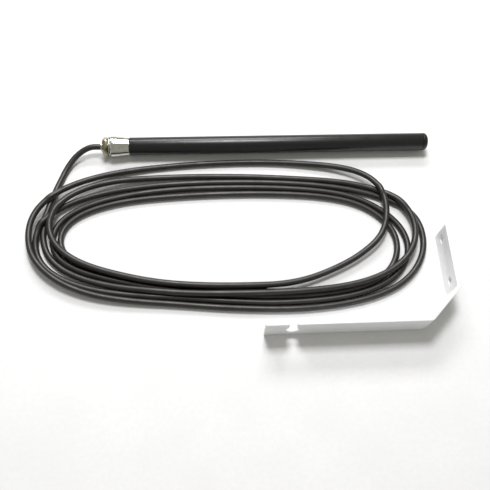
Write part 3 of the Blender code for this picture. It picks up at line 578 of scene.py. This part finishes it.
CORE_RADIUS = 0.8 * MM
CORE_ROUNDNESS = 4
CORE_LENGTH = 22 * MM
CORE_SPREAD = 1.5 * MM
CORE_START = -1 * MM  # inside the jacket
END_POINTS = 8  # of the cable, which give the way that it points
# along a core: how far ahead, how many times the spread to the side, and how far down
CORE_PATH = [
    (CORE_START, 0.75, 0.0),
    (0.3 * CORE_LENGTH, 0.8, 0.4 * MM),
    (0.7 * CORE_LENGTH, 1.2, 1.2 * MM),
    (CORE_LENGTH, 1.7, 1.5 * MM),
]
FERRULE_RADIUS = 0.65 * MM
FERRULE_LENGTH = 8 * MM
COLLAR_RADIUS = 1.2 * MM
COLLAR_LENGTH = 5 * MM
COLLAR_OVERLAP = 2 * MM  # back over the core
FERRULE_STEPS = 20


def make_ferrule(colour, place):
    """A collar and a sleeve, closed at both ends, from X 0 along +X."""
    collar_end = COLLAR_LENGTH - COLLAR_OVERLAP
    outline = [(-COLLAR_OVERLAP, 0), (-COLLAR_OVERLAP, COLLAR_RADIUS), (collar_end, COLLAR_RADIUS)]
    outline += [(collar_end, FERRULE_RADIUS), (FERRULE_LENGTH, FERRULE_RADIUS), (FERRULE_LENGTH, 0)]
    mesh = mesh_of(turned(outline, FERRULE_STEPS, closed=False), f"ferrule_{colour}", place)
    finished(mesh.name, mesh, "probe", tinned_copper)


def make_cores(line):
    """Three stripped cores with crimped ferrules, lying under the turns."""
    end = Vector(line[-1])
    ahead = (end - Vector(line[-END_POINTS])).normalized()
    side = ahead.cross(Vector((0, 0, 1))).normalized()
    for number, finish in enumerate((brown_core, blue_core, black_core)):
        across = (number - 1) * CORE_SPREAD
        colour = finish.name.split("_")[0]
        path = [
            end + ahead * far + side * across * wide - Vector((0, 0, low))
            for far, wide, low in CORE_PATH
        ]
        points = smooth_line(np.array([tuple(p) for p in path]))
        name = f"stripped_core_{colour}"
        round_line(name, points, CORE_RADIUS, CORE_ROUNDNESS, finish)
        out = (path[-1] - path[-2]).normalized()
        turn = out.to_track_quat("X", "Z").to_matrix().to_4x4()
        make_ferrule(colour, Matrix.Translation(path[-1]) @ turn)


make_cores(cable_line)


# ---- the tube, its cap and the cone -------------------------------------------------------------

EDGE = 0.25 * MM  # radius of a broken edge
EDGE_STEPS = 4
NOSE_STEPS = 16
BORE_RADIUS = TUBE_RADIUS - TUBE_WALL
INSERT_RADIUS = BORE_RADIUS - GAP


# the thread's tooth, as (along the axis, out from the root), and how finely a turn is drawn
TOOTH_FOOT = 0.46 * MM
TOOTH_TOP = 0.08 * MM
TOOTH_ROOT = -0.06 * MM  # the foot's depth below the root, so that it closes on the neck
TOOTH_STEPS = 40


def make_tube():
    outline = arc(TUBE_FRONT - EDGE, TUBE_RADIUS - EDGE, EDGE, 90, 0, EDGE_STEPS)
    outline += arc(TUBE_FRONT - EDGE, BORE_RADIUS + EDGE, EDGE, 0, -90, EDGE_STEPS)
    outline += arc(TUBE_REAR + EDGE, BORE_RADIUS + EDGE, EDGE, -90, -180, EDGE_STEPS)
    outline += arc(TUBE_REAR + EDGE, TUBE_RADIUS - EDGE, EDGE, 180, 90, EDGE_STEPS)
    mesh = mesh_of(turned(outline), "anodised_tube", AT_AXIS)
    finished("anodised_tube", mesh, "probe", black_anodised, ["probe_tube"])


def grooved_spigot(start, away):
    """The stretch of a spigot that carries an O-ring groove, from a shoulder at start."""
    near = start + away * GROOVE_INSET
    far = near + away * GROOVE_WIDTH
    low = INSERT_RADIUS - GROOVE_DEPTH
    return [(start, INSERT_RADIUS), (near, INSERT_RADIUS), (near, low), (far, low), (far, INSERT_RADIUS)]


def make_cap():
    shoulder = TUBE_FRONT + GAP
    rear = CAP_BOX[0].x
    bore = INSERT_RADIUS - CAP_SPIGOT_WALL
    seat = TIP - CAP_LIP
    hole = SIGHT_HOLE_RADIUS
    outline = [(TIP, hole + EDGE)]
    nose = CAP_NOSE_RADIUS
    outline += arc(TIP - nose, TUBE_RADIUS - nose, nose, 0, 90, NOSE_STEPS)
    outline += arc(shoulder + EDGE, TUBE_RADIUS - EDGE, EDGE, 90, 180, EDGE_STEPS)
    outline += grooved_spigot(shoulder, -1)
    outline += [(rear + SPIGOT_CHAMFER, INSERT_RADIUS), (rear, INSERT_RADIUS - SPIGOT_CHAMFER)]
    outline += [(rear, bore), (seat, bore), (seat, hole), (TIP - EDGE, hole)]
    mesh = mesh_of(turned(outline), "rounded_cap", AT_AXIS)
    finished("rounded_cap", mesh, "probe", black_anodised, ["tip_cap"])


def make_cone():
    front = TUBE_REAR - GAP
    rear = front - CONE_LENGTH
    neck_rear = CONE_BOX[0].x
    inner = CONE_BOX[1].x
    root = NECK_RADIUS - THREAD_DEPTH
    chamber = INSERT_RADIUS - GROOVE_DEPTH - SPIGOT_WALL
    chamber_end = front - SEAL_CHAMBER_DEPTH
    outline = [(neck_rear, NECK_BORE_RADIUS + EDGE), (neck_rear, root), (rear, root)]
    outline += [(rear, CONE_RADIUS - CONE_CHAMFER), (rear + CONE_CHAMFER, CONE_RADIUS)]
    outline += [(rear + CONE_BAND, CONE_RADIUS), (front - EDGE, TUBE_RADIUS), (front, TUBE_RADIUS - EDGE)]
    outline += grooved_spigot(front, 1)
    outline += [(inner - SPIGOT_CHAMFER, INSERT_RADIUS), (inner, INSERT_RADIUS - SPIGOT_CHAMFER)]
    outline += [(inner, chamber), (chamber_end, chamber), (chamber_end, NECK_BORE_RADIUS)]
    outline += [(neck_rear + EDGE, NECK_BORE_RADIUS)]
    mesh = mesh_of(turned(outline), "plated_cone", AT_AXIS)
    finished("plated_cone", mesh, "probe", chromium_plate, ["cone_body"])

    make_neck_thread(neck_rear, rear, root)


def make_neck_thread(start, end, root):
    """One tooth wound along the neck, trimmed to the neck's chamfered outline."""
    turns = int((end - start) / THREAD_PITCH - 1)
    foot, top = (TOOTH_FOOT, TOOTH_ROOT), (TOOTH_TOP, THREAD_DEPTH)
    tooth = [(-foot[0], foot[1]), (-top[0], top[1]), top, foot]
    first = start + 0.5 * THREAD_PITCH
    bm = bmesh.new()
    verts = [bm.verts.new((first + x, 0, root + r)) for x, r in tooth]
    face = bm.faces.new(verts)
    bmesh.ops.spin(
        bm,
        geom=[face] + face.edges[:] + verts,
        cent=(0, 0, 0),
        axis=(1, 0, 0),
        dvec=(THREAD_PITCH / TOOTH_STEPS, 0, 0),
        angle=math.tau * turns,
        steps=TOOTH_STEPS * turns,
    )
    for v in bm.verts:
        r = math.hypot(v.co.y, v.co.z)
        limit = NECK_RADIUS - max(0.0, NECK_CHAMFER - (v.co.x - start))
        v.co.yz = v.co.yz * (min(r, limit) / r)
    mesh = mesh_of(bm, "neck_thread", AT_AXIS)
    finished("neck_thread", mesh, "probe", chromium_plate)


make_tube()
make_cap()
make_cone()


# ---- the washer and the nut ---------------------------------------------------------------------

NUT_BORE_RADIUS = NECK_RADIUS + 0.06 * MM
NUT_MOUTH_CHAMFER = 0.45 * MM
NUT_EDGE = 0.12 * MM
BROKEN_EDGE_ANGLE = math.radians(35)
DRILL_STEPS = 64


def cut(mesh, tool, operation):
    """Cuts a mesh with another one, or keeps what they share."""
    objects = [bpy.data.objects.new("cutting", m) for m in (mesh, tool)]
    for obj in objects:
        bpy.context.scene.collection.objects.link(obj)
    change = objects[0].modifiers.new("cut", "BOOLEAN")
    change.operation = operation
    change.solver = "EXACT"
    change.object = objects[1]
    result = evaluated(objects[0], mesh.name)
    for obj in objects:
        bpy.data.objects.remove(obj)
    return result


def evaluated(obj, name):
    """The mesh of an object with its modifiers applied."""
    graph = bpy.context.evaluated_depsgraph_get()
    result = bpy.data.meshes.new_from_object(obj.evaluated_get(graph))
    result.name = name
    return result


def rounded_edges(mesh, width, segments=3):
    """Breaks a mesh's sharp edges."""
    obj = bpy.data.objects.new("rounding", mesh)
    bpy.context.scene.collection.objects.link(obj)
    bevel = obj.modifiers.new("broken_edges", "BEVEL")
    bevel.limit_method = "ANGLE"
    bevel.angle_limit = BROKEN_EDGE_ANGLE
    bevel.width = width
    bevel.segments = segments
    bevel.use_clamp_overlap = True
    result = evaluated(obj, mesh.name)
    bpy.data.objects.remove(obj)
    return result


def make_washer():
    rear, front = WASHER_BOX[0].x, WASHER_BOX[1].x
    edge = (WASHER_BOX[1].z - WASHER_BOX[0].z) / 2
    bore = NECK_RADIUS + GAP
    outline = arc(front - EDGE, edge - EDGE, EDGE, 90, 0, EDGE_STEPS) + [(front, bore), (rear, bore)]
    outline += arc(rear + EDGE, edge - EDGE, EDGE, 180, 90, EDGE_STEPS)
    mesh = mesh_of(turned(outline), "plain_washer", AT_AXIS)
    finished("plain_washer", mesh, "washer", zinc_plate, ["neck_washer"])


def make_nut():
    rear, front = NUT_BOX[0].x, NUT_BOX[1].x
    half = (front - rear) / 2
    centre = Matrix.Translation(((rear + front) / 2, 0, 0))
    flat = NUT_ACROSS_FLATS / 2
    corner = NUT_ACROSS_FLATS / math.sqrt(3)
    turn = Matrix.Rotation(NUT_TURN, 4, "X") @ Matrix.Rotation(math.pi / 2, 4, "Y")
    bm = bmesh.new()
    bmesh.ops.create_cone(
        bm,
        cap_ends=True,
        segments=6,
        radius1=corner,
        radius2=corner,
        depth=2 * half,
        matrix=AT_AXIS @ centre @ turn,
    )
    hexagon = mesh_of(bm, "hexagon_nut")
    reach = corner + GAP
    slope = math.tan(NUT_CHAMFER_SLOPE)
    drop = (reach - flat) * slope
    lens = [(-half - GAP, 0.0), (-half - GAP, flat - GAP / slope), (-half + drop, reach)]
    lens += [(half - drop, reach), (half + GAP, flat - GAP / slope), (half + GAP, 0.0)]
    lens_mesh = mesh_of(turned(lens, closed=False), "corner_turning", AT_AXIS @ centre)
    nut = cut(hexagon, lens_mesh, "INTERSECT")
    bore = NUT_BORE_RADIUS
    mouth = bore + NUT_MOUTH_CHAMFER
    inner = half - NUT_MOUTH_CHAMFER
    drill = [(-half - GAP, 0.0), (-half - GAP, mouth + GAP), (-inner, bore)]
    drill += [(inner, bore), (half + GAP, mouth + GAP), (half + GAP, 0.0)]
    drill_mesh = mesh_of(turned(drill, DRILL_STEPS, closed=False), "nut_drill", AT_AXIS @ centre)
    nut = rounded_edges(cut(nut, drill_mesh, "DIFFERENCE"), NUT_EDGE, 2)
    nut.name = "hexagon_nut"
    finished("hexagon_nut", nut, "nut", nickel_plate, ["fixing_nut"])


make_washer()
make_nut()


# ---- the bracket --------------------------------------------------------------------------------

BEND_STEPS = 12
CORNER_STEPS = 6
HOLE_STEPS = 64
COAT_EDGE = 0.45 * MM  # how far the coat rounds an edge


def offset_corner(before, corner, after, distance):
    """Points of a bend at a distance inside the bar's outer line."""
    into = (corner - before).normalized()
    out = (after - corner).normalized()
    turn = math.atan2(into.x * out.y - into.y * out.x, into.dot(out))
    left = Vector((-into.y, into.x))
    radius = BEND_RADIUS + BAR_THICKNESS
    centre = corner - into * radius * math.tan(turn / 2) + left * radius
    start = math.degrees(math.atan2(-left.y, -left.x))
    return arc(centre.x, centre.y, radius - distance, start, start + math.degrees(turn), BEND_STEPS)


def bar_outline():
    """The bar seen from above, its outer side first, from the arm's end."""
    start = Vector((0, 0))
    first = start + Vector((ARM_LENGTH, 0))
    second = first + Vector((math.cos(CRANK_ANGLE), math.sin(CRANK_ANGLE))) * CRANK_LENGTH
    end = second + Vector((0, FLANGE_LENGTH))
    sides = []
    for distance in (0.0, BAR_THICKNESS):
        side = [(start.x, distance)]
        side += offset_corner(start, first, second, distance)
        side += offset_corner(first, second, end, distance)
        side += [(end.x - distance, end.y)]
        sides.append(side)
    return sides[0] + sides[1][::-1]


def rod(radius, length, centre, turn, name):
    """A round cutter."""
    bm = bmesh.new()
    bmesh.ops.create_cone(
        bm, cap_ends=True, segments=HOLE_STEPS, radius1=radius, radius2=radius, depth=length,
        matrix=Matrix.Translation(centre) @ turn
    )
    return mesh_of(bm, name)


def is_bar_corner(edge, far):
    """Whether an edge runs across the bar's thickness, at the arm's end or at the flange's."""
    a, b = (v.co for v in edge.verts)
    at_arm_end = max(abs(a.x), abs(b.x)) < WELD
    at_flange_end = min(a.y, b.y) > far - WELD
    return abs(a.z - b.z) < WELD and (at_arm_end or at_flange_end)


def make_bracket():
    bm = bmesh.new()
    face = bm.faces.new([bm.verts.new((x, y, 0)) for x, y in bar_outline()])
    grown = bmesh.ops.extrude_face_region(bm, geom=[face])["geom"]
    lifted = [v for v in grown if isinstance(v, bmesh.types.BMVert)]
    bmesh.ops.translate(bm, vec=(0, 0, BAR_WIDTH), verts=lifted)
    far = max(v.co.y for v in bm.verts)
    ends = [edge for edge in bm.edges if is_bar_corner(edge, far)]
    bmesh.ops.bevel(
        bm, geom=ends, offset=BAR_CORNER_RADIUS, offset_type="OFFSET", segments=CORNER_STEPS, profile=0.5,
        affect="EDGES", material=-1
    )
    bar = mesh_of(bm, "cranked_bracket")
    depth = 4 * BAR_THICKNESS
    middle = BAR_WIDTH / 2
    along_y = Matrix.Rotation(math.pi / 2, 4, "X")
    along_x = Matrix.Rotation(math.pi / 2, 4, "Y")
    centre = (KEYHOLE_FROM_END, BAR_THICKNESS / 2, middle)
    bar = cut(bar, rod(KEYHOLE_RADIUS, depth, centre, along_y, "keyhole"), "DIFFERENCE")
    bm = bmesh.new()
    size = Matrix.Diagonal((KEYHOLE_SLOT, depth, BAR_WIDTH, 1))
    middle_of_slot = Matrix.Translation((KEYHOLE_FROM_END, BAR_THICKNESS / 2, BAR_WIDTH))
    bmesh.ops.create_cube(bm, size=1, matrix=middle_of_slot @ size)
    bar = cut(bar, mesh_of(bm, "slot"), "DIFFERENCE")
    flange_x = ARM_LENGTH + CRANK_LENGTH * math.cos(CRANK_ANGLE)
    for number in range(2):
        y = far - SCREW_HOLE_FROM_END - number * SCREW_HOLE_SPACING
        centre = (flange_x - BAR_THICKNESS / 2, y, middle)
        bar = cut(bar, rod(SCREW_HOLE_RADIUS, depth, centre, along_x, "screw_hole"), "DIFFERENCE")
    bar = rounded_edges(bar, COAT_EDGE)
    bar.transform(Matrix.Translation((BRACKET_BOX[0].x, BRACKET_BOX[0].y, 0)))
    finished("cranked_bracket", bar, "bracket", powder_coat, ["bracket"])


make_bracket()


# ---- floor and light ----------------------------------------------------------------------------

FLOOR_REACH = 3  # metres each way
ROOM_COLOUR = "#f5f4ea"
ROOM_BRIGHTNESS = 0.40


def make_floor():
    bm = bmesh.new()
    bmesh.ops.create_grid(bm, x_segments=1, y_segments=1, size=FLOOR_REACH)
    floor = bpy.data.objects.new("paper_floor", mesh_of(bm, "paper_floor"))
    floor.data.materials.append(white_paper)
    bpy.context.scene.collection.objects.link(floor)


def make_light(name, energy, direction, size, distance):
    """A rectangular lamp, so many metres from the origin, that faces it."""
    light = bpy.data.lights.new(name, "AREA")
    light.energy = energy
    light.shape = "RECTANGLE"
    light.size, light.size_y = size
    lamp = bpy.data.objects.new(name, light)
    away = Vector(direction).normalized()
    turn = away.to_track_quat("Z", "Y").to_matrix().to_4x4()
    lamp.matrix_world = Matrix.Translation(away * distance) @ turn
    bpy.context.scene.collection.objects.link(lamp)


def make_world():
    """An even, pale, slightly warm room."""
    world = bpy.data.worlds.new("studio")
    bpy.context.scene.world = world
    world.use_nodes = True
    shade = world.node_tree.nodes["Background"]
    shade.inputs["Color"].default_value = srgb(ROOM_COLOUR)
    shade.inputs["Strength"].default_value = ROOM_BRIGHTNESS


make_floor()
make_light("key", 10.6, (-0.05, 0.40, 1), (0.3, 0.3), 1.2)
make_light("rear_softbox", 15, (-0.1, 0.95, 0.8), (1.0, 0.35), 1.6)
make_world()
bpy.context.scene.view_settings.view_transform = "Standard"
